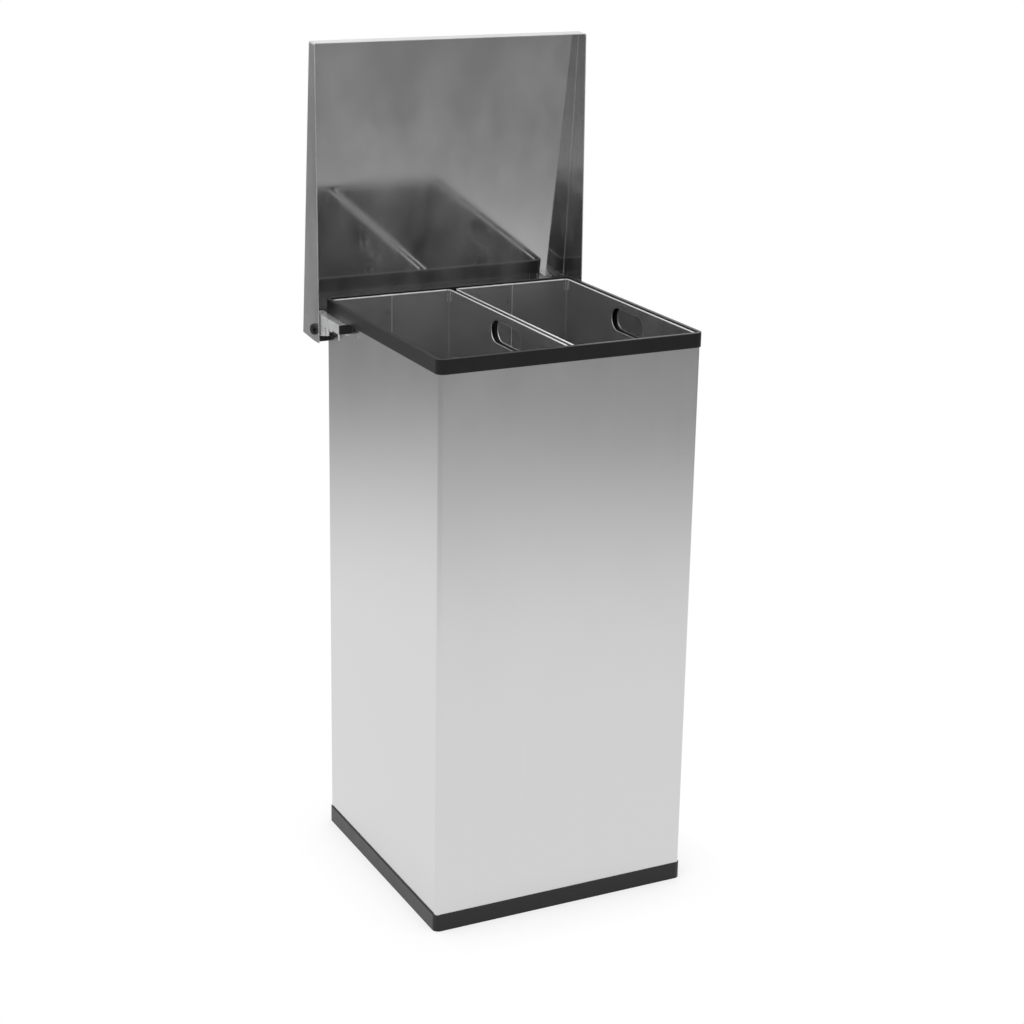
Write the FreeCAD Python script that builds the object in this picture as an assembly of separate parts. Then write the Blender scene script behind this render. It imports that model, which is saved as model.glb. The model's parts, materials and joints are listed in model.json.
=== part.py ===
import FreeCAD, Part
import math
import os

# Double recycling bin: a square sheet-metal casing with plastic edge strips, two lift-out
# buckets side by side and one wedge-sided lid on two pivot bolts. Millimetres.
# X runs to the right along the front, Y to the rear, Z up from the floor.

# ---------------------------------------------------------------- driving dimensions
# casing
CASING_WIDTH = 425.0
CASING_DEPTH = 421.0
CASING_HEIGHT = 892.3          # floor to the top of the rim strip
CASING_SHEET = 1.0
CASING_BEND = 6.0              # outer radius of the upright corners
REAR_RETURN = 18.0             # width of the sheet turned in behind each rear corner
PANEL_GAP = 0.2                # slit between a return and the rear panel
JOGGLE = 4.0                   # width of the step that takes the rear panel behind a return
SHEET_CLEARANCE = 0.1          # between two sheets that are fixed together

# plastic strips that grip the sheet edges
BASE_STRIP_HEIGHT = 26.0
BASE_STRIP_WALL = 2.1
BASE_STRIP_CORNER = 10.0
BASE_WEB = 2.5
RIM_STRIP_HEIGHT = 22.3
RIM_STRIP_WALL = 3.0
RIM_STRIP_CORNER = 12.0
RIM_WEB = 2.3
RIM_EDGE_ROUND = 1.0
STRIP_INNER_WALL = 2.0
STRIP_INNER_HEIGHT = 16.0
STRIP_CLEARANCE = 0.1          # between a strip and the sheet it grips

# floor tray and the rail that keeps the buckets apart
TRAY_SHEET = 1.5
TRAY_FLANGE = 25.0
TRAY_CLEARANCE = 0.3
TRAY_BEND = 4.5
RAIL_SHEET = 1.0
RAIL_WIDTH = 7.0
RAIL_HEIGHT = 25.0
RAIL_END_GAP = 20.0
SEAT = 0.3                     # left under a bucket that stands on the tray

# rivets
RIVET_SHANK = 3.2
RIVET_HEAD = 6.4
RIVET_HEAD_HEIGHT = 1.0
RIVET_HEAD_ROUND = 0.6
RIVET_TAIL = 4.8
RIVET_TAIL_HEIGHT = 1.6
RIVET_CLEARANCE = 0.05
REAR_RIVET_LOW = 80.0
REAR_RIVET_HIGH = 760.0
REAR_RIVETS_PER_SIDE = 5

# buckets
BUCKET_SIDE_CLEARANCE = 1.9    # hem to the rim strip, left and right
BUCKET_END_CLEARANCE = 3.2     # hem to the rim strip, front and rear
BUCKET_GAP = 10.0              # between the two buckets' walls
BUCKET_BELOW_RIM = 2.3
BUCKET_SHEET = 0.8
BUCKET_BEND = 4.0
BUCKET_FLOOR_FLANGE = 15.0
BUCKET_FIT = 0.05              # between the sheets of one bucket
LAP = 16.5                     # overlap of the two halves at the front and rear seams
HEM_HEIGHT = 12.0
HEM_THICKNESS = 0.8
RELIEF_WIDTH = 1.2             # slits beside the bends that let the hem fold
RELIEF_HEIGHT = 18.0
HANDLE_LENGTH = 100.0
HANDLE_HEIGHT = 36.0
HANDLE_DROP = 31.0             # top edge of the bucket to the middle of the hand hole
BAG_HOLE_WIDTH = 34.0
BAG_HOLE_STRAIGHT = 10.0
BAG_HOLE_DROP = 71.0           # top edge of the bucket to the flat top of the bag hole
BAG_SLIT_WIDTH = 2.0           # the two slits that run up from the flat top
BAG_SLIT_HEIGHT = 9.0
BAG_SLIT_PITCH = 12.0

# lid
LID_OVERHANG = 15.0            # closed lid's front edge to the casing's front face
LID_REAR = 21.1                # pivot to the rear edge, lid closed
LID_SHEET = 1.2
LID_REST_GAP = 0.3             # between the closed lid and the rim strip
LID_LIP = 23.5                 # depth of the front flange
LID_SIDE_REAR = 69.5           # depth of a side flange at its rear end
LID_REAR_FLANGE = 48.8
LID_BEND = 2.5
LID_TIP_ROUND = 3.0            # free corners of the side flanges
LIFT_CLEARANCE = 1.0           # open lid's front lip to a bucket that is lifted past it

# hinge
PIVOT_BEHIND_CASING = 4.5
PIVOT_BELOW_RIM = 49.3
BOLT_SHANK = 8.0
BOLT_HEAD = 18.0
BOLT_HEAD_HEIGHT = 4.5
BOLT_HEAD_ROUND = 3.5
BOLT_END = 1.7                 # thread that shows past the nut
NUT_FLATS = 13.0
NUT_HEIGHT = 6.5
NUT_CLEARANCE = 0.1
BUSH_OUTER = 11.0
BUSH_COLLAR = 16.0
BUSH_COLLAR_HEIGHT = 1.05
BUSH_RUNNING = 0.05            # radial clearance of the bolt in its bush
BUSH_SEAT = 0.05
WASHER_OUTER = 16.0
WASHER_THICKNESS = 1.2
HINGE_CLEARANCE = 0.15         # along the bolt, between pieces that turn on each other
BRACKET_SHEET = 2.0
BRACKET_WIDTH = 16.2
BRACKET_BELOW_STRIP = 1.0
BRACKET_LENGTH = 93.0          # pivot to the front end
BRACKET_REAR = 12.0            # pivot to the rear end
BRACKET_HEEL_REACH = 20.5      # lower edge of the outer leg, forward of the pivot and below it
BRACKET_HEEL_DROP = 6.5
BRACKET_SLOT_REACH = 34.7      # upright slot in the lower edge, forward of the pivot
BRACKET_SLOT_WIDTH = 6.1
BRACKET_SLOT_RISE = 11.3       # its top above the pivot
BRACKET_NOTCH_REACH = 48.9     # open notch between the lower edge and the tab
BRACKET_NOTCH_DROP = 0.3
BRACKET_NOTCH_WIDTH = 5.4
BRACKET_NOTCH_RISE = 12.3
BRACKET_TAB_WIDTH = 7.5
BRACKET_TAB_RISE = 8.8         # lower edge of the tab above the pivot
BRACKET_NOSE_REACH = 82.4
BRACKET_NOSE_RISE = 11.2       # lower edge of the nose above the pivot
BRACKET_TOE_LENGTH = 4.0       # the hook at the front end
BRACKET_TOE_TAPER = 1.0
BRACKET_TOE_RISE = 2.2
BRACKET_INNER_HEIGHT = 18.0
BRACKET_INNER_SETBACK = 3.0    # inner leg's end to the casing's rear face
BRACKET_RIVET_DROP = 11.0
BRACKET_RIVET_PITCH = 50.0
BRACKET_RIVET_SETBACK = 20.0   # rear rivet to the casing's rear face
BRACKET_HOLE_CLEARANCE = 0.1
BLOCK_CAP = 3.0
BLOCK_HEIGHT = 14.0
BLOCK_PLUG = 14.0
BLOCK_FIT = 0.2
STOP_THICKNESS = 8.0
STOP_OVERLAP = 6.0             # height of the stop strip bonded to the rear flange
STOP_END_GAP = 4.8             # side flange to the end of the stop strip
STOP_GAP = 0.3                 # stop strip to the casing's rear face, lid open
STOP_ROUND = 1.5

# ---------------------------------------------------------------- levels and faces
SIDE = CASING_WIDTH / 2
REAR = CASING_DEPTH / 2
sheet_bottom = BASE_WEB + STRIP_CLEARANCE
sheet_top = CASING_HEIGHT - RIM_WEB - STRIP_CLEARANCE
rim_bottom = CASING_HEIGHT - RIM_STRIP_HEIGHT
strip_inner = CASING_SHEET + STRIP_CLEARANCE + STRIP_INNER_WALL
tray_bottom = STRIP_INNER_HEIGHT
tray_top = tray_bottom + TRAY_SHEET
tray_flange_top = tray_bottom + TRAY_FLANGE

hem_side = SIDE - strip_inner - BUCKET_SIDE_CLEARANCE
hem_end = REAR - strip_inner - BUCKET_END_CLEARANCE
bucket_side = hem_side - HEM_THICKNESS
bucket_end = hem_end - HEM_THICKNESS
bucket_width = bucket_side - BUCKET_GAP / 2
bucket_middle = BUCKET_GAP / 2 + bucket_width / 2
bucket_bottom = tray_top + SEAT
bucket_top = CASING_HEIGHT - BUCKET_BELOW_RIM

pivot_y = REAR + PIVOT_BEHIND_CASING
pivot_z = CASING_HEIGHT - PIVOT_BELOW_RIM
lid_top = CASING_HEIGHT + LID_REST_GAP + LID_SHEET
lid_front = CASING_DEPTH + PIVOT_BEHIND_CASING + LID_OVERHANG
bracket_inner_face = SIDE + SHEET_CLEARANCE
bracket_outer = bracket_inner_face + BRACKET_WIDTH
flange_inner = bracket_outer + WASHER_THICKNESS + 2 * HINGE_CLEARANCE
lid_half = flange_inner + LID_SHEET
bracket_top = rim_bottom - BRACKET_BELOW_STRIP
bracket_front_y = pivot_y - BRACKET_LENGTH
PIVOT = FreeCAD.Vector(0, pivot_y, pivot_z)
X_AXIS = FreeCAD.Vector(1, 0, 0)
Y_AXIS = FreeCAD.Vector(0, 1, 0)
Z_AXIS = FreeCAD.Vector(0, 0, 1)
OVERCUT = 5.0                  # how far a cutting tool runs past the sheet
NEAR = 1e-3                    # two levels closer than this are the same
NUT_SIDES = 6


def lid_open_angle():
    """Degrees from closed to open: the lip just stays behind a bucket that is lifted out."""
    lip_height = lid_top - LID_LIP - pivot_z
    lap_face = bucket_end + BUCKET_FIT + BUCKET_SHEET + HEM_THICKNESS
    lip_place = lap_face + LIFT_CLEARANCE - pivot_y
    reach = math.hypot(lid_front, lip_height)
    return math.degrees(math.atan2(lid_front, lip_height) + math.asin(lip_place / reach))


LID_OPEN_ANGLE = lid_open_angle()


# ---------------------------------------------------------------- small helpers
def box(x0, x1, y0, y1, z0, z1):
    return Part.makeBox(x1 - x0, y1 - y0, z1 - z0, FreeCAD.Vector(x0, y0, z0))


def cylinder_x(radius, x0, x1, y, z):
    return Part.makeCylinder(radius, x1 - x0, FreeCAD.Vector(x0, y, z), X_AXIS)


def cylinder_y(radius, y0, y1, x, z):
    return Part.makeCylinder(radius, y1 - y0, FreeCAD.Vector(x, y0, z), Y_AXIS)


def edges_along(shape, axis):
    """The straight edges of a shape that run along one axis (0, 1 or 2)."""
    found = []
    for edge in shape.Edges:
        start = edge.Vertexes[0].Point
        run = edge.Vertexes[-1].Point - start
        if run.Length > 0 and abs(abs(run[axis]) - run.Length) < NEAR:
            found.append(edge)
    return found


def upright_slab(half_x, half_y, radius, z0, z1, middle_x=0.0):
    """A block with rounded upright corners, centred on middle_x and the casing's mid-depth."""
    block = box(middle_x - half_x, middle_x + half_x, -half_y, half_y, z0, z1)
    return block.makeFillet(radius, edges_along(block, 2))


def casing_slab(offset, radius, z0, z1):
    """A slab whose sides stand outside the casing's sheet by offset (negative is inside)."""
    return upright_slab(SIDE + offset, REAR + offset, radius, z0, z1)


def profile_x(points, x0, x1):
    """A plate whose outline lies in the YZ plane, from x0 to x1."""
    corners = [FreeCAD.Vector(x0, y, z) for y, z in points]
    wire = Part.makePolygon(corners + corners[:1])
    return Part.Face(wire).extrude(FreeCAD.Vector(x1 - x0, 0, 0))


def fused(first, *others):
    shape = first.multiFuse(list(others))
    return shape.removeSplitter()


def mirrored(shape):
    """The same piece on the other side of the bin."""
    return shape.mirror(FreeCAD.Vector(0, 0, 0), X_AXIS)


def opened(shape):
    """Swings a piece of the closed lid up to its open stop."""
    turned = shape.copy()
    turned.rotate(PIVOT, X_AXIS, -LID_OPEN_ANGLE)
    return turned


def rivet(grip):
    """A blind rivet along +X: head below zero, grip from zero, tail beyond it."""
    shank = Part.makeCylinder(RIVET_SHANK / 2, grip, FreeCAD.Vector(), X_AXIS)
    head = Part.makeCylinder(
        RIVET_HEAD / 2, RIVET_HEAD_HEIGHT, FreeCAD.Vector(-RIVET_HEAD_HEIGHT, 0, 0), X_AXIS
    )
    head = head.makeFillet(RIVET_HEAD_ROUND, [head.Edges[2]])
    tail = Part.makeCylinder(RIVET_TAIL / 2, RIVET_TAIL_HEIGHT, FreeCAD.Vector(grip, 0, 0), X_AXIS)
    return fused(shank, head, tail)


# ---------------------------------------------------------------- rivet places
def rear_rivet_places():
    """x and z of each rivet that holds the rear panel."""
    pitch = (REAR_RIVET_HIGH - REAR_RIVET_LOW) / (REAR_RIVETS_PER_SIDE - 1)
    across = SIDE - CASING_BEND - (REAR_RETURN - CASING_BEND) / 2
    places = []
    for side in (-across, across):
        for row in range(REAR_RIVETS_PER_SIDE):
            places.append((side, REAR_RIVET_LOW + row * pitch))
    return places


def bracket_rivet_places():
    """y and z of each rivet that holds a hinge bracket to the casing's side."""
    rear_one = REAR - BRACKET_RIVET_SETBACK
    level = bracket_top - BRACKET_RIVET_DROP
    return [(rear_one - BRACKET_RIVET_PITCH, level), (rear_one, level)]


RIVET_HOLE = RIVET_SHANK / 2 + RIVET_CLEARANCE


# ---------------------------------------------------------------- casing
def casing_wrap():
    """Front and both sides from one sheet, turned in behind the rear corners."""
    outer = casing_slab(0, CASING_BEND, sheet_bottom, sheet_top)
    inner = casing_slab(-CASING_SHEET, CASING_BEND - CASING_SHEET, sheet_bottom, sheet_top)
    shell = outer.cut(inner)
    open_half = SIDE - REAR_RETURN
    shell = shell.cut(
        box(-open_half, open_half, REAR - CASING_SHEET - OVERCUT, REAR + OVERCUT,
            sheet_bottom, sheet_top)
    )
    for x, z in rear_rivet_places():
        shell = shell.cut(cylinder_y(RIVET_HOLE, REAR - OVERCUT, REAR + OVERCUT, x, z))
    for y, z in bracket_rivet_places():
        for side in (-SIDE, SIDE):
            shell = shell.cut(cylinder_x(RIVET_HOLE, side - OVERCUT, side + OVERCUT, y, z))
    return shell


def rear_panel():
    """Flat rear sheet, flush with the returns, stepped in behind them and riveted there."""
    half = SIDE - REAR_RETURN - PANEL_GAP
    tab_end = SIDE - CASING_BEND - CASING_SHEET
    step_inner = REAR - 2 * CASING_SHEET - SHEET_CLEARANCE
    tab_bottom = tray_flange_top + OVERCUT
    tab_top = CASING_HEIGHT - STRIP_INNER_HEIGHT - OVERCUT
    panel = box(-half, half, REAR - CASING_SHEET, REAR, sheet_bottom, sheet_top)
    pieces = []
    for side in (-1, 1):
        step = sorted((side * (half - JOGGLE), side * half))
        tab = sorted((side * (half - JOGGLE), side * tab_end))
        pieces.append(box(step[0], step[1], step_inner, REAR, tab_bottom, tab_top))
        pieces.append(box(tab[0], tab[1], step_inner, step_inner + CASING_SHEET, tab_bottom, tab_top))
    panel = fused(panel, *pieces)
    for x, z in rear_rivet_places():
        panel = panel.cut(cylinder_y(RIVET_HOLE, REAR - OVERCUT, REAR + OVERCUT, x, z))
    return panel


def rear_rivets():
    """One rivet at each place, heads outside."""
    grip = 2 * CASING_SHEET + SHEET_CLEARANCE
    solids = []
    for x, z in rear_rivet_places():
        one = rivet(grip)
        one.rotate(FreeCAD.Vector(), Z_AXIS, -90)
        one.translate(FreeCAD.Vector(x, REAR, z))
        solids.append(one)
    return Part.makeCompound(solids)


def base_strip():
    """Skirting that grips the bottom edge of the sheet and stands on the floor."""
    proud = BASE_STRIP_WALL + STRIP_CLEARANCE
    slot_inner = CASING_SHEET + STRIP_CLEARANCE
    strip = casing_slab(proud, BASE_STRIP_CORNER, 0, BASE_STRIP_HEIGHT)
    above = casing_slab(
        STRIP_CLEARANCE, CASING_BEND + STRIP_CLEARANCE, STRIP_INNER_HEIGHT, BASE_STRIP_HEIGHT
    )
    well = casing_slab(-strip_inner, CASING_BEND - strip_inner, 0, STRIP_INNER_HEIGHT)
    slot = casing_slab(
        STRIP_CLEARANCE, CASING_BEND + STRIP_CLEARANCE, BASE_WEB, STRIP_INNER_HEIGHT
    ).cut(casing_slab(-slot_inner, CASING_BEND - slot_inner, BASE_WEB, STRIP_INNER_HEIGHT))
    return strip.cut(above).cut(well).cut(slot)


def rim_strip():
    """Edge strip that grips the top edge of the sheet; the closed lid rests on it."""
    proud = RIM_STRIP_WALL + STRIP_CLEARANCE
    slot_inner = CASING_SHEET + STRIP_CLEARANCE
    inner_bottom = CASING_HEIGHT - STRIP_INNER_HEIGHT
    web_bottom = CASING_HEIGHT - RIM_WEB
    strip = casing_slab(proud, RIM_STRIP_CORNER, rim_bottom, CASING_HEIGHT)
    top_outer = [e for e in strip.Edges if e.BoundBox.ZMin > CASING_HEIGHT - OVERCUT]
    strip = strip.makeFillet(RIM_EDGE_ROUND, top_outer)
    below = casing_slab(STRIP_CLEARANCE, CASING_BEND + STRIP_CLEARANCE, rim_bottom, inner_bottom)
    well = casing_slab(-strip_inner, CASING_BEND - strip_inner, inner_bottom, CASING_HEIGHT)
    slot = casing_slab(
        STRIP_CLEARANCE, CASING_BEND + STRIP_CLEARANCE, inner_bottom, web_bottom
    ).cut(casing_slab(-slot_inner, CASING_BEND - slot_inner, inner_bottom, web_bottom))
    return strip.cut(below).cut(well).cut(slot)


def base_tray():
    """Folded floor of the casing, on the base strip's inner wall, flange up inside the sheet."""
    outer_offset = -(CASING_SHEET + TRAY_CLEARANCE)
    inner_offset = outer_offset - TRAY_SHEET
    outer = casing_slab(outer_offset, TRAY_BEND, tray_bottom, tray_flange_top)
    inner = casing_slab(inner_offset, TRAY_BEND - TRAY_SHEET, tray_top, tray_flange_top)
    return outer.cut(inner)


def tray_rail():
    """Folded channel along the middle of the tray that keeps the buckets apart."""
    half = RAIL_WIDTH / 2
    end = bucket_end - RAIL_END_GAP
    top = tray_top + RAIL_HEIGHT
    outer = box(-half, half, -end, end, tray_top, top)
    hollow = box(-half + RAIL_SHEET, half - RAIL_SHEET, -end, end, tray_top, top - RAIL_SHEET)
    return outer.cut(hollow)


# ---------------------------------------------------------------- buckets
def bucket_wall_ring(middle_x):
    """The four walls of a bucket before its seams and holes are made."""
    half_x = bucket_width / 2
    outer = upright_slab(half_x, bucket_end, BUCKET_BEND, bucket_bottom, bucket_top, middle_x)
    inner = upright_slab(
        half_x - BUCKET_SHEET, bucket_end - BUCKET_SHEET, BUCKET_BEND - BUCKET_SHEET,
        bucket_bottom, bucket_top, middle_x,
    )
    return outer.cut(inner)


def front_lap(middle_x):
    """The joggled end of a half's front wall, which laps outside the other half."""
    face = -bucket_end
    lap_inner = face - BUCKET_FIT
    lap_outer = lap_inner - BUCKET_SHEET
    ramp = 2 * BUCKET_SHEET
    points = [
        (middle_x - 2 * ramp, face),
        (middle_x - ramp, lap_outer),
        (middle_x + LAP, lap_outer),
        (middle_x + LAP, lap_inner),
        (middle_x - BUCKET_FIT, lap_inner),
        (middle_x - BUCKET_FIT, face),
    ]
    corners = [FreeCAD.Vector(x, y, bucket_bottom) for x, y in points]
    wire = Part.makePolygon(corners + corners[:1])
    return Part.Face(wire).extrude(FreeCAD.Vector(0, 0, bucket_top - bucket_bottom))


def half_hems(middle_x):
    """The folded-over top edge of the left half: front, side and rear runs and the lap's own."""
    left = middle_x - bucket_width / 2
    start = left + BUCKET_BEND + RELIEF_WIDTH
    low = bucket_top - HEM_HEIGHT
    lap_face = -bucket_end - BUCKET_FIT - BUCKET_SHEET
    side_end = bucket_end - BUCKET_BEND - RELIEF_WIDTH
    rear_start = middle_x - LAP - 2 * BUCKET_FIT
    return [
        box(start, middle_x - BUCKET_SHEET, -bucket_end - HEM_THICKNESS, -bucket_end,
            low, bucket_top),
        box(middle_x - 2 * BUCKET_SHEET, middle_x + LAP, lap_face - HEM_THICKNESS, lap_face,
            low, bucket_top),
        box(left - HEM_THICKNESS, left, -side_end, side_end, low, bucket_top),
        box(start, rear_start, bucket_end, bucket_end + HEM_THICKNESS, low, bucket_top),
    ]


def relief_slits(middle_x):
    """Upright slits beside the two bends of the left half, where the hem is folded."""
    left = middle_x - bucket_width / 2
    low = bucket_top - RELIEF_HEIGHT
    high = bucket_top + OVERCUT
    across = (left + BUCKET_BEND, left + BUCKET_BEND + RELIEF_WIDTH)
    along = bucket_end - BUCKET_BEND
    slits = []
    for end in (-bucket_end, bucket_end):
        slits.append(box(across[0], across[1], end - OVERCUT, end + OVERCUT, low, high))
    for near in (-along, along - RELIEF_WIDTH):
        slits.append(box(left - OVERCUT, left + BUCKET_SHEET + OVERCUT, near,
                         near + RELIEF_WIDTH, low, high))
    return slits


def hand_hole(x):
    """Oblong hole for the fingers, through the side wall at x."""
    level = bucket_top - HANDLE_DROP
    radius = HANDLE_HEIGHT / 2
    reach = HANDLE_LENGTH / 2 - radius
    tool = box(x - OVERCUT, x + OVERCUT, -reach, reach, level - radius, level + radius)
    ends = [cylinder_x(radius, x - OVERCUT, x + OVERCUT, y, level) for y in (-reach, reach)]
    return fused(tool, *ends)


def bag_hole(x):
    """Flat-topped, round-bottomed hole that holds the corner of a bag, with two slits above it."""
    radius = BAG_HOLE_WIDTH / 2
    top = bucket_top - BAG_HOLE_DROP
    straight = box(x - OVERCUT, x + OVERCUT, -radius, radius, top - BAG_HOLE_STRAIGHT, top)
    round_end = cylinder_x(radius, x - OVERCUT, x + OVERCUT, 0, top - BAG_HOLE_STRAIGHT)
    slits = [
        box(x - OVERCUT, x + OVERCUT, middle - BAG_SLIT_WIDTH / 2, middle + BAG_SLIT_WIDTH / 2,
            top - BAG_HOLE_STRAIGHT, top + BAG_SLIT_HEIGHT)
        for middle in (-BAG_SLIT_PITCH / 2, BAG_SLIT_PITCH / 2)
    ]
    hole = fused(straight, round_end).cut(
        box(x - OVERCUT, x + OVERCUT, -radius, radius, top, top + radius)
    )
    return fused(hole, *slits)


def bucket_left_half(middle_x):
    """One of the two equal folded halves: a side wall with half of the front and rear walls."""
    left = middle_x - bucket_width / 2
    ring = bucket_wall_ring(middle_x)
    keep = box(left - OVERCUT, middle_x - BUCKET_FIT, -bucket_end - OVERCUT,
               bucket_end + OVERCUT, bucket_bottom, bucket_top)
    half = fused(ring.common(keep), front_lap(middle_x), *half_hems(middle_x))
    half = half.cut(hand_hole(left)).cut(bag_hole(left))
    for slit in relief_slits(middle_x):
        half = half.cut(slit)
    return half


def turned_half(half, middle_x):
    """The same pressing turned half round to make the other side of the bucket."""
    other = half.copy()
    other.rotate(FreeCAD.Vector(middle_x, 0, 0), Z_AXIS, 180)
    return other


def bucket_floor(middle_x):
    """Bottom pan of a bucket, flange up inside the walls."""
    inset = BUCKET_SHEET + BUCKET_FIT
    half_x = bucket_width / 2 - inset
    half_y = bucket_end - inset
    radius = BUCKET_BEND - inset
    floor_top = bucket_bottom + BUCKET_SHEET
    flange_top = bucket_bottom + BUCKET_FLOOR_FLANGE
    outer = upright_slab(half_x, half_y, radius, bucket_bottom, flange_top, middle_x)
    inner = upright_slab(
        half_x - BUCKET_SHEET, half_y - BUCKET_SHEET, radius - BUCKET_SHEET,
        floor_top, flange_top, middle_x,
    )
    return outer.cut(inner)


# ---------------------------------------------------------------- lid
def lid_pan():
    """Wedge-sided lid in one folded sheet, drawn closed and then swung open."""
    front = pivot_y - lid_front
    rear = pivot_y + LID_REAR
    outline = [
        (front, lid_top), (front, lid_top - LID_LIP),
        (rear, lid_top - LID_SIDE_REAR), (rear, lid_top),
    ]
    outer = profile_x(outline, -lid_half, lid_half)
    folds = edges_along(outer, 2) + [e for e in outer.Edges if e.BoundBox.ZMin > lid_top - NEAR]
    outer = outer.makeFillet(LID_BEND, folds)
    floor = lid_top - LID_SHEET
    below = lid_top - 2 * LID_SIDE_REAR
    hollow = box(-flange_inner, flange_inner, front + LID_SHEET, rear - LID_SHEET, below, floor)
    inner_folds = edges_along(hollow, 2) + [e for e in hollow.Edges if e.BoundBox.ZMin > floor - NEAR]
    hollow = hollow.makeFillet(LID_BEND - LID_SHEET, inner_folds)
    pan = outer.cut(hollow)
    pan = pan.cut(box(-lid_half, lid_half, rear - LID_BEND, rear, below, lid_top - LID_REAR_FLANGE))
    tips = [e for e in edges_along(pan, 0)
            if e.BoundBox.ZMax < lid_top - LID_REAR_FLANGE and e.Length < 2 * LID_SHEET
            and e.BoundBox.YMin > rear - 2 * LID_BEND]
    pan = pan.makeFillet(LID_TIP_ROUND, tips)
    hole = BUSH_OUTER / 2 + BUSH_SEAT
    return opened(pan.cut(cylinder_x(hole, -lid_half - OVERCUT, lid_half + OVERCUT, pivot_y, pivot_z)))


def lid_stop_strip():
    """Rubber strip inside the rear flange; it meets the casing's rear face when the lid is open."""
    turn = math.radians(LID_OPEN_ANGLE)
    outer_y = LID_REAR - LID_SHEET
    inner_y = outer_y - STOP_THICKNESS
    reach = STOP_GAP - PIVOT_BEHIND_CASING
    low = (reach - inner_y * math.cos(turn)) / math.sin(turn)
    high = lid_top - LID_REAR_FLANGE - pivot_z + STOP_OVERLAP
    half = flange_inner - STOP_END_GAP
    strip = box(-half, half, pivot_y + inner_y, pivot_y + outer_y, pivot_z + low, pivot_z + high)
    nose = [e for e in edges_along(strip, 0)
            if e.BoundBox.ZMax < pivot_z + high - NEAR and e.BoundBox.YMax > pivot_y + outer_y - NEAR]
    return opened(strip.makeFillet(STOP_ROUND, nose))


# ---------------------------------------------------------------- hinge, left side
def bracket_outline():
    """Outer leg, y and z from the pivot: deep at the pivot, then a notch, a tab and a hooked nose."""
    top = bracket_top - pivot_z
    front = -BRACKET_LENGTH
    toe = front + BRACKET_TOE_LENGTH
    notch = -BRACKET_NOTCH_REACH
    tab = notch - BRACKET_NOTCH_WIDTH
    arch = tab - BRACKET_TAB_WIDTH
    return [
        (front, top),
        (BRACKET_REAR, top),
        (BRACKET_REAR, 0.0),
        (0.0, -BRACKET_REAR),
        (-BRACKET_HEEL_REACH, -BRACKET_HEEL_DROP),
        (notch, -BRACKET_NOTCH_DROP),
        (notch, BRACKET_NOTCH_RISE),
        (tab, BRACKET_NOTCH_RISE),
        (tab, BRACKET_TAB_RISE),
        (arch, BRACKET_TAB_RISE),
        (arch, BRACKET_NOTCH_RISE),
        (-BRACKET_NOSE_REACH, BRACKET_NOSE_RISE),
        (toe, BRACKET_NOSE_RISE),
        (toe - BRACKET_TOE_TAPER, BRACKET_TOE_RISE),
        (front, BRACKET_TOE_RISE),
    ]


def hinge_bracket():
    """Folded channel riveted to the casing's side; its outer leg carries the pivot bolt."""
    points = [(pivot_y + y, pivot_z + z) for y, z in bracket_outline()]
    outer_leg = profile_x(points, -bracket_outer, -bracket_outer + BRACKET_SHEET)
    outer_leg = fused(
        outer_leg,
        cylinder_x(BRACKET_REAR, -bracket_outer, -bracket_outer + BRACKET_SHEET, pivot_y, pivot_z),
    )
    top_leg = box(-bracket_outer, -bracket_inner_face, bracket_front_y, pivot_y + BRACKET_REAR,
                  bracket_top - BRACKET_SHEET, bracket_top)
    inner_leg = box(-bracket_inner_face - BRACKET_SHEET, -bracket_inner_face, bracket_front_y,
                    REAR - BRACKET_INNER_SETBACK, bracket_top - BRACKET_INNER_HEIGHT, bracket_top)
    bracket = fused(outer_leg, top_leg, inner_leg)
    slot_y = pivot_y - BRACKET_SLOT_REACH
    slot = box(-bracket_outer - OVERCUT, -bracket_outer + OVERCUT, slot_y - BRACKET_SLOT_WIDTH, slot_y,
               pivot_z - BRACKET_REAR, pivot_z + BRACKET_SLOT_RISE)
    bracket = bracket.cut(slot)
    hole = BOLT_SHANK / 2 + BRACKET_HOLE_CLEARANCE
    bracket = bracket.cut(
        cylinder_x(hole, -bracket_outer - OVERCUT, -bracket_outer + OVERCUT, pivot_y, pivot_z)
    )
    for y, z in bracket_rivet_places():
        bracket = bracket.cut(
            cylinder_x(RIVET_HOLE, -bracket_inner_face - OVERCUT, -bracket_inner_face + OVERCUT, y, z)
        )
    return bracket


def bracket_block():
    """Moulded plug in the front end of the channel, with a cap that covers its edges."""
    cap = box(-bracket_outer, -bracket_inner_face, bracket_front_y - BLOCK_CAP, bracket_front_y,
              bracket_top - BLOCK_HEIGHT, bracket_top)
    plug = box(
        -bracket_outer + BRACKET_SHEET + BLOCK_FIT, -bracket_inner_face - BRACKET_SHEET - BLOCK_FIT,
        bracket_front_y, bracket_front_y + BLOCK_PLUG,
        bracket_top - BLOCK_HEIGHT, bracket_top - BRACKET_SHEET - BLOCK_FIT,
    )
    return fused(cap, plug)


def bracket_rivets():
    """Rivets of both brackets, heads inside the channel."""
    grip = BRACKET_SHEET + SHEET_CLEARANCE + CASING_SHEET
    solids = []
    for y, z in bracket_rivet_places():
        one = rivet(grip)
        one.translate(FreeCAD.Vector(-bracket_inner_face - BRACKET_SHEET, y, z))
        solids += [one, mirrored(one)]
    return Part.makeCompound(solids)


def both_sides(piece):
    return Part.makeCompound([piece, mirrored(piece)])


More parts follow.
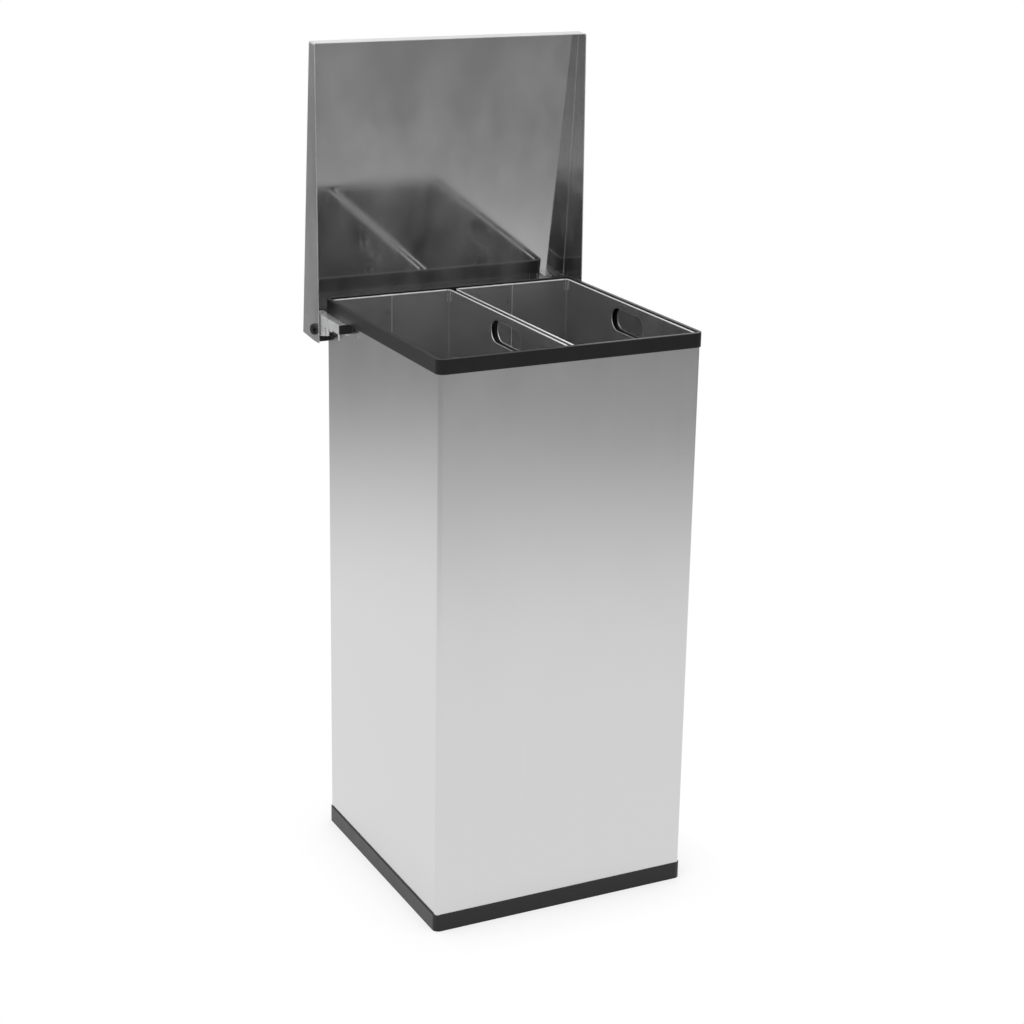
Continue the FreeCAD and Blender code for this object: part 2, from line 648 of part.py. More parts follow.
def pivot_bolts():
    """Round-headed bolts that the lid turns on, heads outside its side flanges."""
    head_inner = -(lid_half + BUSH_SEAT + BUSH_COLLAR_HEIGHT + HINGE_CLEARANCE)
    head_outer = head_inner - BOLT_HEAD_HEIGHT
    tip = -bracket_outer + BRACKET_SHEET + NUT_CLEARANCE + NUT_HEIGHT + BOLT_END
    head = cylinder_x(BOLT_HEAD / 2, head_outer, head_inner, pivot_y, pivot_z)
    rim = [e for e in head.Edges if e.BoundBox.XMax < head_outer + NEAR]
    head = head.makeFillet(BOLT_HEAD_ROUND, rim)
    shank = cylinder_x(BOLT_SHANK / 2, head_inner, tip, pivot_y, pivot_z)
    return both_sides(fused(head, shank))


def pivot_nuts():
    """Hexagon nuts inside the brackets."""
    start = -bracket_outer + BRACKET_SHEET + NUT_CLEARANCE
    corner = NUT_FLATS / 2 / math.cos(math.pi / NUT_SIDES)
    turns = [math.tau * side / NUT_SIDES for side in range(NUT_SIDES)]
    points = [(pivot_y + corner * math.cos(t), pivot_z + corner * math.sin(t)) for t in turns]
    nut = profile_x(points, start, start + NUT_HEIGHT)
    bore = BOLT_SHANK / 2 + NUT_CLEARANCE
    return both_sides(nut.cut(cylinder_x(bore, start, start + NUT_HEIGHT, pivot_y, pivot_z)))


def pivot_bushes():
    """Collared plastic bushes in the lid's side flanges, running on the bolts."""
    outer_face = lid_half + BUSH_SEAT
    collar = cylinder_x(BUSH_COLLAR / 2, -outer_face - BUSH_COLLAR_HEIGHT, -outer_face, pivot_y, pivot_z)
    sleeve = cylinder_x(BUSH_OUTER / 2, -outer_face, -flange_inner, pivot_y, pivot_z)
    bush = fused(collar, sleeve)
    bore = BOLT_SHANK / 2 + BUSH_RUNNING
    bush = bush.cut(
        cylinder_x(bore, -outer_face - OVERCUT, -flange_inner + OVERCUT, pivot_y, pivot_z)
    )
    return opened(both_sides(bush))


def friction_washers():
    """Washers squeezed between the brackets and the lid's flanges; they hold the lid where it is."""
    outer = -flange_inner + HINGE_CLEARANCE
    disc = cylinder_x(WASHER_OUTER / 2, outer, outer + WASHER_THICKNESS, pivot_y, pivot_z)
    hole = BOLT_SHANK / 2 + BRACKET_HOLE_CLEARANCE
    return both_sides(disc.cut(cylinder_x(hole, outer, outer + WASHER_THICKNESS, pivot_y, pivot_z)))


# ---------------------------------------------------------------- all the pieces
left_bracket = hinge_bracket()
left_block = bracket_block()
pieces = {
    "casing_wrap": casing_wrap(),
    "rear_panel": rear_panel(),
    "rear_rivets": rear_rivets(),
    "base_strip": base_strip(),
    "rim_strip": rim_strip(),
    "base_tray": base_tray(),
    "tray_rail": tray_rail(),
    "hinge_bracket_left": left_bracket,
    "hinge_bracket_right": mirrored(left_bracket),
    "bracket_block_left": left_block,
    "bracket_block_right": mirrored(left_block),
    "bracket_rivets": bracket_rivets(),
    "pivot_bolts": pivot_bolts(),
    "pivot_nuts": pivot_nuts(),
    "friction_washers": friction_washers(),
    "lid_pan": lid_pan(),
    "lid_stop_strip": lid_stop_strip(),
    "pivot_bushes": pivot_bushes(),
}
for name, middle in (("left_bucket", -bucket_middle), ("right_bucket", bucket_middle)):
    half = bucket_left_half(middle)
    pieces[name + "_left_half"] = half
    pieces[name + "_right_half"] = turned_half(half, middle)
    pieces[name + "_floor"] = bucket_floor(middle)

# The origin is on the floor, under the middle of everything as it stands with its lid open.
extent = Part.makeCompound(list(pieces.values())).optimalBoundingBox(False)
to_origin = FreeCAD.Vector(0, -(extent.YMin + extent.YMax) / 2, 0)

os.makedirs("parts", exist_ok=True)
for name, shape in pieces.items():
    placed = shape.copy()
    placed.translate(to_origin)
    placed.exportStep("parts/%s.step" % name)
print("shift along Y %.4f" % to_origin.y)
print("lid open angle %.4f" % LID_OPEN_ANGLE)
print("bucket middle %.4f end %.4f bottom %.4f" % (bucket_middle, bucket_end, bucket_bottom))
print("pivot y %.4f z %.4f" % (pivot_y + to_origin.y, pivot_z))
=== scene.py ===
import json
import math

import bmesh
import bpy
from mathutils import Matrix, Vector


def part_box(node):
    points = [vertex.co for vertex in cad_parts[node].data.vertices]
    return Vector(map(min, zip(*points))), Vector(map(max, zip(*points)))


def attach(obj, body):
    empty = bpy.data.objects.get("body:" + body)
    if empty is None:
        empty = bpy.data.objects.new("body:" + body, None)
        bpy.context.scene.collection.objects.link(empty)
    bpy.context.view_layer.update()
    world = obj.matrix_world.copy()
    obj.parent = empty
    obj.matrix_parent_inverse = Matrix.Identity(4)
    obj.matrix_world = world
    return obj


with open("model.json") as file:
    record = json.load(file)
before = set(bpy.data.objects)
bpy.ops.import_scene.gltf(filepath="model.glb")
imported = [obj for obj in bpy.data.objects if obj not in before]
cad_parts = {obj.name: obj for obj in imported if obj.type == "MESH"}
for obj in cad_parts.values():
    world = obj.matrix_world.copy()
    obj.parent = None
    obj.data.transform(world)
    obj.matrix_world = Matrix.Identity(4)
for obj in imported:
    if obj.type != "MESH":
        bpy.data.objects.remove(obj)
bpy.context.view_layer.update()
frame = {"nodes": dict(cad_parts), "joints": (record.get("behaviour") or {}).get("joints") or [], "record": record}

# The double recycling bin: materials for its pieces, the weld marks of the bucket seams,
# a pale floor, soft studio light and the camera. Metres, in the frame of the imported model.

NODES = frame["nodes"]

# ---------------------------------------------------------------- sizes read from the frame
LID_HINGE = next(j for j in frame["joints"] if j["name"] == "lid_hinge")
LID_OPEN_ANGLE = math.radians(LID_HINGE["range_deg"][1])
LID_TILT = math.pi / 2 - LID_OPEN_ANGLE
BUCKET_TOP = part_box("left_bucket_left_half")[1].z
CASING_LOW, CASING_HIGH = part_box("casing_wrap")
CASING_MIDDLE = (CASING_LOW + CASING_HIGH) / 2
CASING_HALF = (CASING_HIGH - CASING_LOW) / 2

# ---------------------------------------------------------------- camera and light
CAMERA_PLACE = Vector((-1.453, -2.934, 1.65))
CAMERA_YAW = math.radians(26.7)
CAMERA_PITCH = math.radians(-17.2)
CAMERA_ROLL = math.radians(1.0)
CAMERA_LENS = 77.2
CAMERA_SENSOR = 36.0
CAMERA_SHIFT = -0.04
POOL_NEAR = 0.9                # the floor glows white in reflections up to this far from the bin, a painted pool of light
POOL_FAR = 3.3                 # and at POOL_DIM from here on
POOL_DIM = 0.30
SHADOW_REACH = 0.10            # the bin's shadow shows up to this far from its foot
SHADOW_SHARE = 0.4
FLOOR_RADIUS = 60.0
FLOOR_SIDES = 96
FLOOR_ROUGHNESS = 0.9
FLOOR_DARK = 0.78
FLOOR_PALE = 0.80
ROOM_LOW = 0.35                # light from the room in front, at the horizon and overhead
ROOM_HIGH = 0.90
BACKDROP_FADE = 0.5            # share of the way behind at which the backdrop is full white
SOFTBOXES = (                  # name, place, target, width, height and power in watts
    ("overhead", (0.0, -0.3, 2.7), (0.0, -0.3, 0.0), 4.0, 4.0, 62),
    ("left_high", (-2.4, -0.8, 2.4), (0.0, 0.0, 0.5), 1.6, 1.2, 16),
)

# ---------------------------------------------------------------- surface detail
FINE_GRAIN = (1500, 1500, 9)   # noise waves per metre along X, Y and Z
BROAD_GRAIN = (160, 160, 2)
SMEARS = (9, 9, 5)
SPANGLES = (110, 110, 110)
PLATE_CLOUDS = (60, 60, 60)
PLATE_GRAIN = (900, 900, 900)
PLASTIC_GRAIN = (1400, 1400, 1400)
DUST = (30, 30, 30)
FLOOR_SPECKS = (40, 40, 40)

WHOLE = (0.0, 1.0)
NOISE_WIDE = (0.30, 0.70)      # stretches of a noise's value that are spread over a range
NOISE_MIDDLE = (0.35, 0.65)
NOISE_UPPER = (0.35, 0.70)
NOISE_NARROW = (0.40, 0.62)

EDGE_SAMPLES = 6
EDGE_START = 0.999             # cosine between flat and rounded normal where an edge begins
EDGE_FULL = 0.90
SHEET_EDGE = 0.0007            # radius to which the edges are rounded
TRAY_EDGE = 0.001
FITTING_EDGE = 0.0008
RELIEF_DEPTH = 0.0001


# ---------------------------------------------------------------- node helpers
MIX_FIRST = 6                  # colour sockets of the Mix node
MIX_SECOND = 7
MIX_RESULT = 2


def add(tree, kind, settings=None, **inputs):
    """Adds a node; an input is a value, or the output socket that feeds it."""
    node = tree.nodes.new(kind)
    for name, value in (settings or {}).items():
        setattr(node, name, value)
    for name, value in inputs.items():
        socket = node.inputs[name.replace("_", " ")]
        feed(tree, socket, value)
    return node


def feed(tree, socket, value):
    if isinstance(value, bpy.types.NodeSocket):
        tree.links.new(value, socket)
    else:
        socket.default_value = value


def new_material(name):
    material = bpy.data.materials.new(name)
    material.use_nodes = True
    return material, material.node_tree, material.node_tree.nodes["Principled BSDF"]


def object_point(tree, stretch, tilt=0.0):
    """Object coordinates, turned by tilt about X and scaled per axis."""
    place = add(tree, "ShaderNodeTexCoord").outputs["Object"]
    turned = add(tree, "ShaderNodeMapping", Vector=place, Rotation=(tilt, 0.0, 0.0))
    return add(tree, "ShaderNodeMapping", Vector=turned.outputs[0], Scale=stretch).outputs[0]


def noise(tree, point, detail=3.0, roughness=0.5):
    node = add(
        tree, "ShaderNodeTexNoise", Vector=point, Scale=1.0, Detail=detail, Roughness=roughness
    )
    return node.outputs["Fac"]


def spread(tree, value, low, high, to_low, to_high):
    """Maps the stretch low..high of a value to to_low..to_high, held at both ends."""
    node = add(tree, "ShaderNodeMapRange", Value=value)
    node.inputs["From Min"].default_value = low
    node.inputs["From Max"].default_value = high
    feed(tree, node.inputs["To Min"], to_low)
    feed(tree, node.inputs["To Max"], to_high)
    return node.outputs["Result"]


def calc(tree, operation, first, second):
    node = add(tree, "ShaderNodeMath", {"operation": operation})
    feed(tree, node.inputs[0], first)
    feed(tree, node.inputs[1], second)
    return node.outputs[0]


def blend_colour(tree, factor, first, second):
    node = add(tree, "ShaderNodeMix", {"data_type": "RGBA"}, Factor=factor)
    feed(tree, node.inputs[MIX_FIRST], first)
    feed(tree, node.inputs[MIX_SECOND], second)
    return node.outputs[MIX_RESULT]


def grey(level, tint=0.0):
    """A neutral colour; a positive tint leans to blue and a negative one to warm."""
    return (level - tint, level, level + tint, 1.0)


def spread_grey(tree, value):
    """A neutral colour from a number."""
    node = add(tree, "ShaderNodeCombineColor", Red=value, Green=value, Blue=value)
    return node.outputs[0]


def rounded_edges(tree, radius):
    """The normal with edges rounded off, and a mask that is 1 on an edge and 0 on a flat face."""
    bevel = add(tree, "ShaderNodeBevel", {"samples": EDGE_SAMPLES}, Radius=radius)
    rounded = bevel.outputs[0]
    normal = add(tree, "ShaderNodeNewGeometry").outputs["Normal"]
    agree = add(tree, "ShaderNodeVectorMath", {"operation": "DOT_PRODUCT"})
    tree.links.new(rounded, agree.inputs[0])
    tree.links.new(normal, agree.inputs[1])
    return rounded, spread(tree, agree.outputs["Value"], EDGE_START, EDGE_FULL, 0.0, 1.0)


def bump(tree, height, strength, normal):
    node = add(
        tree, "ShaderNodeBump",
        Height=height, Strength=strength, Distance=RELIEF_DEPTH, Normal=normal
    )
    return node.outputs["Normal"]


# ---------------------------------------------------------------- metals
EDGE_METAL = 0.4               # edges keep less metal, so over half of the light of their painted highlight scatters evenly
EDGE_ROUGHNESS = 0.5
FOLD_HIGHLIGHT_HEIGHT = 0.0018           # band under a hem's top that is painted as the highlight of its rolled fold
GRAIN_CONTRAST = 0.008
GRAIN_ROUGHNESS = 0.012
GRAIN_RELIEF = 0.02
HAZE_WIPED = 0.45              # shares of a sheet's haze where it is wiped and where it is smeared
HAZE_SMEARED = 1.7
BRUSHED = 0.4
BRUSHED_TURN = 0.25
SPANGLE_RELIEF = 0.1
PLATE_DARKER = 0.05            # how far the clouds of a plated piece go from its level
PLATE_PALER = 0.04
PLATE_SMOOTHER = 0.05
PLATE_DULLER = 0.06
# colour of a fitting's edges: rubbing wear and a painted highlight
PLATE_EDGE_LEVEL = 0.92
PLATE_RELIEF = 0.08


def painted_fold_highlight(tree, edge, level):
    """Adds a band just under the level, painted as the highlight of a hem's rolled fold, to the mask of the edges.
    """
    place = add(tree, "ShaderNodeTexCoord").outputs["Object"]
    height = add(tree, "ShaderNodeSeparateXYZ", Vector=place).outputs["Z"]
    fold = spread(tree, height, level - FOLD_HIGHLIGHT_HEIGHT, level - FOLD_HIGHLIGHT_HEIGHT / 2, 0.0, 1.0)
    return calc(tree, "MAXIMUM", edge, fold)


def brushed_sheet(
    name, level, roughness, tilt=0.0, grain=1.0, smear_depth=0.02, haze=0.0, cloud=0.004,
    painted_edge_highlight=0.85, hem_top=None
):
    """Stainless sheet: fine upright grain, faint wiped smears, and cut edges painted bright as a highlight, where
    they scatter light.

    The haze is the small part of the light that a handled sheet scatters evenly.
    """
    material, tree, shader = new_material(name)
    fine = noise(tree, object_point(tree, FINE_GRAIN, tilt), roughness=0.6)
    broad = noise(tree, object_point(tree, BROAD_GRAIN, tilt))
    smear = noise(tree, object_point(tree, SMEARS, tilt), detail=6.0, roughness=0.6)
    streak = calc(tree, "MULTIPLY", calc(tree, "ADD", fine, broad), 0.5)
    contrast = GRAIN_CONTRAST * grain
    shade = calc(
        tree, "ADD", spread(tree, streak, *NOISE_MIDDLE, level - contrast, level + contrast),
        spread(tree, smear, *NOISE_WIDE, -cloud, cloud)
    )
    rounded, edge = rounded_edges(tree, SHEET_EDGE)
    if hem_top:
        edge = painted_fold_highlight(tree, edge, hem_top)
    # painted highlight: the edges, and a hem's rolled fold, are blended towards a pale colour
    colour = blend_colour(tree, edge, spread_grey(tree, shade), grey(painted_edge_highlight))
    tree.links.new(colour, shader.inputs["Base Color"])
    change = GRAIN_ROUGHNESS * grain
    dull = calc(
        tree, "ADD", spread(tree, streak, *NOISE_WIDE, -change, change),
        spread(tree, smear, *NOISE_UPPER, roughness - smear_depth, roughness + smear_depth)
    )
    tree.links.new(spread(tree, edge, *WHOLE, dull, EDGE_ROUGHNESS), shader.inputs["Roughness"])
    metal = spread(tree, smear, *NOISE_NARROW, 1.0 - haze * HAZE_WIPED, 1.0 - haze * HAZE_SMEARED)
    tree.links.new(spread(tree, edge, *WHOLE, metal, EDGE_METAL), shader.inputs["Metallic"])
    shader.inputs["Anisotropic"].default_value = BRUSHED
    shader.inputs["Anisotropic Rotation"].default_value = BRUSHED_TURN
    tangent = add(tree, "ShaderNodeTangent", {"direction_type": "RADIAL", "axis": "Z"})
    tree.links.new(tangent.outputs[0], shader.inputs["Tangent"])
    tree.links.new(bump(tree, streak, GRAIN_RELIEF * grain, rounded), shader.inputs["Normal"])
    return material


def galvanised(name, dark=0.42, pale=0.60, tint=0.01, painted_edge_highlight=0.8, smooth=0.30, dull=0.50):
    """Floor tray: spangled zinc with soft edges, painted pale as a highlight."""
    material, tree, shader = new_material(name)
    spangle = add(tree, "ShaderNodeTexVoronoi", Vector=object_point(tree, SPANGLES), Scale=1.0)
    tone = add(tree, "ShaderNodeSeparateColor", Color=spangle.outputs["Color"]).outputs[0]
    rounded, edge = rounded_edges(tree, TRAY_EDGE)
    zinc = blend_colour(tree, tone, grey(dark, tint), grey(pale, tint))
    # painted highlight: the edges are blended towards a pale colour
    tree.links.new(blend_colour(tree, edge, zinc, grey(painted_edge_highlight)), shader.inputs["Base Color"])
    tree.links.new(spread(tree, tone, *WHOLE, smooth, dull), shader.inputs["Roughness"])
    tree.links.new(bump(tree, tone, SPANGLE_RELIEF, rounded), shader.inputs["Normal"])
    shader.inputs["Metallic"].default_value = 1.0
    return material


def plated(name, level, roughness, tint=0.0, metal=1.0):
    """Zinc or aluminium fittings: slightly cloudy, with paler edges that are partly worn by rubbing and partly a
    painted highlight.

    Metal under 1 is a coat that has gone dull and scatters the rest of the light.
    """
    material, tree, shader = new_material(name)
    cloud = noise(tree, object_point(tree, PLATE_CLOUDS), detail=6.0, roughness=0.65)
    fine = noise(tree, object_point(tree, PLATE_GRAIN))
    base = blend_colour(
        tree, spread(tree, cloud, *NOISE_MIDDLE, 0.0, 1.0),
        grey(level - PLATE_DARKER, tint), grey(level + PLATE_PALER, tint)
    )
    rounded, edge = rounded_edges(tree, FITTING_EDGE)
    # paler edges: rubbing wear and a painted highlight
    colour = blend_colour(tree, edge, base, grey(PLATE_EDGE_LEVEL))
    tree.links.new(colour, shader.inputs["Base Color"])
    dull = spread(tree, cloud, *NOISE_WIDE, roughness - PLATE_SMOOTHER, roughness + PLATE_DULLER)
    tree.links.new(dull, shader.inputs["Roughness"])
    shader.inputs["Metallic"].default_value = metal
    tree.links.new(bump(tree, fine, PLATE_RELIEF, rounded), shader.inputs["Normal"])
    return material


# ---------------------------------------------------------------- plastics and rubber
CLEAN_SHARE = 0.9              # colour of clean and of dusty plastic, as shares of its level
DUSTY_SHARE = 1.15
DUST_TINT = 0.02
CLEAN_SHINE = -0.02            # change of roughness where it is clean and where it is dusty
DUSTY_SHINE = 0.03
PLASTIC_ROUGHNESS = 0.03
# least share of the edges' paleness, which is rubbing wear and a painted highlight
LEAST_RUBBED_HIGHLIGHT = 0.4


def moulded(name, level, roughness, relief=0.12, edge_level=0.04, specular=0.5):
    """Moulded plastic or rubber: fine surface grain, a faint cloud of dust, and paler edges that are partly worn
    by rubbing and partly a painted highlight.
    """
    material, tree, shader = new_material(name)
    fine = noise(tree, object_point(tree, PLASTIC_GRAIN), roughness=0.6)
    dust = noise(tree, object_point(tree, DUST), detail=6.0, roughness=0.65)
    base = blend_colour(
        tree, spread(tree, dust, *NOISE_UPPER, 0.0, 1.0),
        grey(level * CLEAN_SHARE), grey(level * DUSTY_SHARE, level * DUST_TINT)
    )
    rounded, edge = rounded_edges(tree, FITTING_EDGE)
    # paler edges, patchy with the dust: rubbing wear and a painted highlight
    rubbed_highlight = calc(tree, "MULTIPLY", edge, spread(tree, dust, *NOISE_WIDE, LEAST_RUBBED_HIGHLIGHT, 1.0))
    tree.links.new(blend_colour(tree, rubbed_highlight, base, grey(edge_level)), shader.inputs["Base Color"])
    smoothest = roughness - PLASTIC_ROUGHNESS
    roughest = roughness + PLASTIC_ROUGHNESS
    dull = calc(
        tree, "ADD", spread(tree, dust, *NOISE_UPPER, CLEAN_SHINE, DUSTY_SHINE),
        spread(tree, fine, *NOISE_WIDE, smoothest, roughest)
    )
    tree.links.new(dull, shader.inputs["Roughness"])
    shader.inputs["Specular IOR Level"].default_value = specular
    tree.links.new(bump(tree, fine, relief, rounded), shader.inputs["Normal"])
    return material


LOOKS = {
    "casing_steel": brushed_sheet("casing_steel_look", 0.64, 0.19, grain=0.7, haze=0.01),
    "lid_steel": brushed_sheet(
        "lid_steel_look", 0.57, 0.085, tilt=LID_TILT, grain=0.5, smear_depth=0.04, haze=0.085,
        cloud=0.035
    ),
    # bucket: painted highlight on its cut edges and on the rolled fold of its hems
    "bucket_steel": brushed_sheet(
        "bucket_steel_look", 0.68, 0.25, grain=0.2, smear_depth=0.015, haze=0.03, cloud=0.02,
        painted_edge_highlight=0.95, hem_top=BUCKET_TOP
    ),
    "tray_steel": galvanised("tray_steel_look"),
    "strip_plastic": moulded("strip_plastic_look", 0.005, 0.34, edge_level=0.02, specular=0.38),
    "block_plastic": moulded("block_plastic_look", 0.006, 0.24, edge_level=0.03),
    "bracket_zinc": plated("bracket_zinc_look", 0.90, 0.30, 0.004, metal=0.84),
    "rivet_aluminium": plated("rivet_aluminium_look", 0.66, 0.32),
    "bolt_black": moulded(
        "bolt_black_look", 0.004, 0.24, relief=0.03, edge_level=0.012, specular=0.17
    ),
    "nut_zinc": plated("nut_zinc_look", 0.62, 0.28, -0.01),
    "bush_plastic": moulded("bush_plastic_look", 0.05, 0.30, relief=0.06),
    "washer_plastic": moulded("washer_plastic_look", 0.60, 0.42, relief=0.06, edge_level=0.7),
    "stop_rubber": moulded(
        "stop_rubber_look", 0.012, 0.60, relief=0.4, edge_level=0.03, specular=0.3
    ),
}
for part in frame["record"]["subparts"]:
    for holder in NODES[part["node"]].material_slots:
        holder.material = LOOKS[part["material_slot"]]


# ---------------------------------------------------------------- weld marks
WELD_RADIUS = 0.0026
WELD_RIM = 0.00012             # height of the raised ring round a mark
WELD_DIMPLE = 0.00005          # height of the pressed middle above the sheet
WELD_FIRST_DROP = 0.029        # bucket's top edge to the first mark
WELD_PITCH = 0.103
WELDS_PER_SEAM = 8
WELD_SEGMENTS = 20
WELD_PROFILE = ((0.62, WELD_DIMPLE), (0.82, WELD_RIM), (1.0, 0.0))  # share of radius, height
LAP = 0.0165                   # overlap of the two halves of a bucket
LAP_FACE = 0.00085             # lap's outer face to the wall's outer face
BUCKET_SHEET = 0.0008
HEM = 0.0008                   # how far a hem stands out from its wall


def weld_mark(shape, centre, outward):
    """One pressed spot on a front or rear wall; outward is -1 or 1 along Y."""
    rings = []
    for share, height in WELD_PROFILE:
        ring = []
        radius = share * WELD_RADIUS
        for step in range(WELD_SEGMENTS):
            turn = math.tau * step / WELD_SEGMENTS
            ring.append(shape.verts.new((
                centre[0] + radius * math.cos(turn),
                centre[1] + outward * height,
                centre[2] + radius * math.sin(turn),
            )))
        rings.append(ring)
    faces = [shape.faces.new(rings[0])]
    for inner, outer in zip(rings, rings[1:]):
        for step in range(WELD_SEGMENTS):
            after = (step + 1) % WELD_SEGMENTS
            faces.append(shape.faces.new((inner[step], inner[after], outer[after], outer[step])))
    for face in faces:
        face.smooth = True


def weld_marks(bucket):
    """The spot welds of both seams of a bucket, on the lap and on the wall inside."""
    low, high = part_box(bucket + "_floor")
    middle_x = (low.x + high.x) / 2
    middle_y = (low.y + high.y) / 2
    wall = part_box(bucket + "_left_half")[1].y - HEM - middle_y
    shape = bmesh.new()
    for side in (-1, 1):
        seam_x = middle_x - side * LAP / 2
        for row in range(WELDS_PER_SEAM):
            level = BUCKET_TOP - WELD_FIRST_DROP - row * WELD_PITCH
            outer = middle_y + side * (wall + LAP_FACE)
            inner = middle_y + side * (wall - BUCKET_SHEET)
            weld_mark(shape, (seam_x, outer, level), side)
            weld_mark(shape, (seam_x, inner, level), -side)
    bmesh.ops.recalc_face_normals(shape, faces=shape.faces)
    mesh = bpy.data.meshes.new(bucket + "_welds")
    shape.to_mesh(mesh)
    shape.free()
    marks = bpy.data.objects.new(bucket + "_welds", mesh)
    bpy.context.scene.collection.objects.link(marks)
    mesh.materials.append(WELD_LOOK)
    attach(marks, bucket)


WELD_LOOK = plated("weld_look", 0.50, 0.24)
for bucket_name in ("left_bucket", "right_bucket"):
    weld_marks(bucket_name)


# ---------------------------------------------------------------- floor and world
def casing_distance(tree):
    """Distance on the floor from the casing's foot, in metres."""
    place = add(tree, "ShaderNodeTexCoord").outputs["Object"]
    from_middle = add(tree, "ShaderNodeVectorMath", {"operation": "SUBTRACT"})
    tree.links.new(place, from_middle.inputs[0])
    from_middle.inputs[1].default_value = (CASING_MIDDLE.x, CASING_MIDDLE.y, 0.0)
    size = add(tree, "ShaderNodeVectorMath", {"operation": "ABSOLUTE"})
    tree.links.new(from_middle.outputs[0], size.inputs[0])
    beyond = add(tree, "ShaderNodeVectorMath", {"operation": "SUBTRACT"})
    tree.links.new(size.outputs[0], beyond.inputs[0])
    beyond.inputs[1].default_value = (CASING_HALF.x, CASING_HALF.y, 0.0)
    outside = add(tree, "ShaderNodeVectorMath", {"operation": "MAXIMUM"})
    tree.links.new(beyond.outputs[0], outside.inputs[0])
    length = add(tree, "ShaderNodeVectorMath", {"operation": "LENGTH"})
    tree.links.new(outside.outputs[0], length.inputs[0])
    return length.outputs["Value"]


def floor_material():
    """Pale floor: white to the camera; in reflections it glows, a painted pool of light, white near the bin and
    dimmer far off.

    It keeps the bin's shadow close round its foot.
    """
    material, tree, shader = new_material("floor_look")
    shader.inputs["Roughness"].default_value = FLOOR_ROUGHNESS
    specks = noise(tree, object_point(tree, FLOOR_SPECKS), detail=4.0)
    pale = blend_colour(
        tree, spread(tree, specks, *NOISE_WIDE, 0.0, 1.0), grey(FLOOR_DARK), grey(FLOOR_PALE)
    )
    tree.links.new(pale, shader.inputs["Base Color"])
    ray = add(tree, "ShaderNodeLightPath")
    away = casing_distance(tree)
    # painted pool of light: the glow that metal reflects fades from white near the bin to POOL_DIM far off
    pool = add(tree, "ShaderNodeMapRange", {"interpolation_type": "SMOOTHSTEP"}, Value=away)
    pool.inputs["From Min"].default_value = POOL_NEAR
    pool.inputs["From Max"].default_value = POOL_FAR
    pool.inputs["To Min"].default_value = 1.0
    pool.inputs["To Max"].default_value = POOL_DIM
    strength = calc(tree, "MAXIMUM", pool.outputs["Result"], ray.outputs["Is Camera Ray"])
    white = add(tree, "ShaderNodeEmission", Color=grey(1.0), Strength=strength)
    keep = spread(tree, away, 0.0, SHADOW_REACH, SHADOW_SHARE, 0.0)
    seen = add(tree, "ShaderNodeMixShader")
    feed(tree, seen.inputs[0], keep)
    tree.links.new(white.outputs[0], seen.inputs[1])
    tree.links.new(shader.outputs[0], seen.inputs[2])
    looked_at = calc(
        tree, "MAXIMUM", ray.outputs["Is Camera Ray"],
        calc(tree, "MAXIMUM", ray.outputs["Is Glossy Ray"], ray.outputs["Is Transmission Ray"])
    )
    choice = add(tree, "ShaderNodeMixShader")
    feed(tree, choice.inputs[0], looked_at)
    tree.links.new(shader.outputs[0], choice.inputs[1])
    tree.links.new(seen.outputs[0], choice.inputs[2])
    tree.links.new(choice.outputs[0], tree.nodes["Material Output"].inputs["Surface"])
    return material


def make_floor():
    mesh = bpy.data.meshes.new("studio_floor")
    shape = bmesh.new()
    bmesh.ops.create_circle(shape, cap_ends=True, segments=FLOOR_SIDES, radius=FLOOR_RADIUS)
    shape.to_mesh(mesh)
    shape.free()
    floor = bpy.data.objects.new("studio_floor", mesh)
    bpy.context.scene.collection.objects.link(floor)
    mesh.materials.append(floor_material())


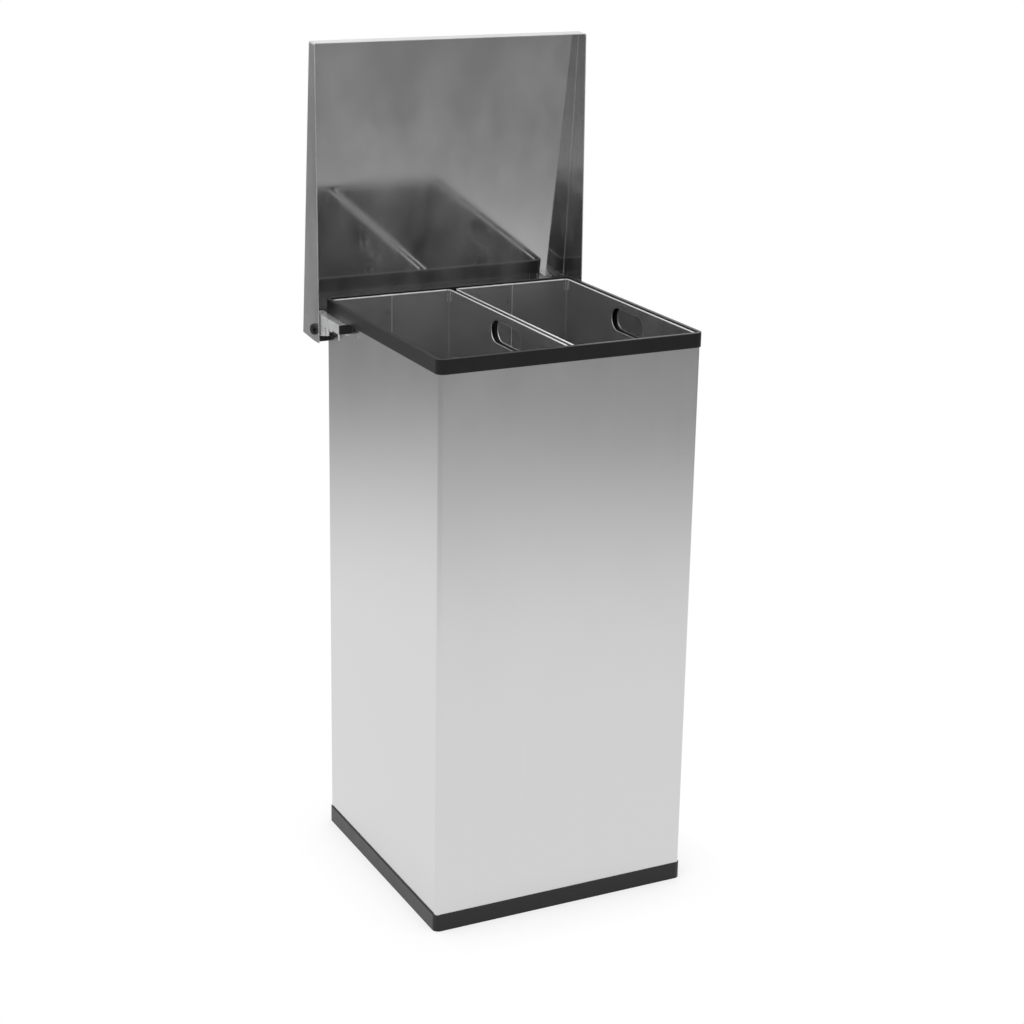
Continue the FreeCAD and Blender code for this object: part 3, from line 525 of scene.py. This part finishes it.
def make_world():
    """White to the camera; to the bin, a white backdrop behind it and a dimmer room in front."""
    world = bpy.data.worlds.new("studio")
    bpy.context.scene.world = world
    world.use_nodes = True
    tree = world.node_tree
    place = add(tree, "ShaderNodeTexCoord").outputs["Generated"]
    split = add(tree, "ShaderNodeSeparateXYZ", Vector=place)
    height = spread(tree, split.outputs["Z"], *WHOLE, ROOM_LOW, ROOM_HIGH)
    backdrop = spread(tree, split.outputs["Y"], 0.0, BACKDROP_FADE, 0.0, 1.0)
    studio = tree.nodes["Background"]
    tree.links.new(
        blend_colour(tree, backdrop, spread_grey(tree, height), grey(1.0)), studio.inputs["Color"]
    )
    studio.inputs["Strength"].default_value = 1.0
    white = add(tree, "ShaderNodeBackground", Color=grey(1.0), Strength=1.0)
    ray = add(tree, "ShaderNodeLightPath")
    choice = add(tree, "ShaderNodeMixShader")
    feed(tree, choice.inputs[0], ray.outputs["Is Camera Ray"])
    tree.links.new(studio.outputs[0], choice.inputs[1])
    tree.links.new(white.outputs[0], choice.inputs[2])
    tree.links.new(choice.outputs[0], tree.nodes["World Output"].inputs["Surface"])


def softbox(name, place, target, width, height, power):
    lamp = bpy.data.lights.new(name, "AREA")
    lamp.shape = "RECTANGLE"
    lamp.size = width
    lamp.size_y = height
    lamp.energy = power
    holder = bpy.data.objects.new(name, lamp)
    bpy.context.scene.collection.objects.link(holder)
    holder.location = place
    holder.rotation_mode = "QUATERNION"
    holder.rotation_quaternion = (Vector(target) - Vector(place)).to_track_quat("-Z", "Y")


def make_camera():
    forward = Vector((
        math.sin(CAMERA_YAW) * math.cos(CAMERA_PITCH),
        math.cos(CAMERA_YAW) * math.cos(CAMERA_PITCH),
        math.sin(CAMERA_PITCH),
    ))
    right = Vector((math.cos(CAMERA_YAW), -math.sin(CAMERA_YAW), 0.0))
    up = right.cross(forward)
    level = Matrix((right, up, -forward)).transposed()
    lens = bpy.data.cameras.new("camera")
    lens.lens = CAMERA_LENS
    lens.sensor_width = CAMERA_SENSOR
    lens.shift_y = CAMERA_SHIFT
    camera = bpy.data.objects.new("camera", lens)
    bpy.context.scene.collection.objects.link(camera)
    roll = Matrix.Rotation(CAMERA_ROLL, 3, "Z")
    camera.matrix_world = Matrix.Translation(CAMERA_PLACE) @ (level @ roll).to_4x4()
    bpy.context.scene.camera = camera


make_floor()
make_world()
for softbox_settings in SOFTBOXES:
    softbox(*softbox_settings)
make_camera()
bpy.context.scene.view_settings.view_transform = "Standard"
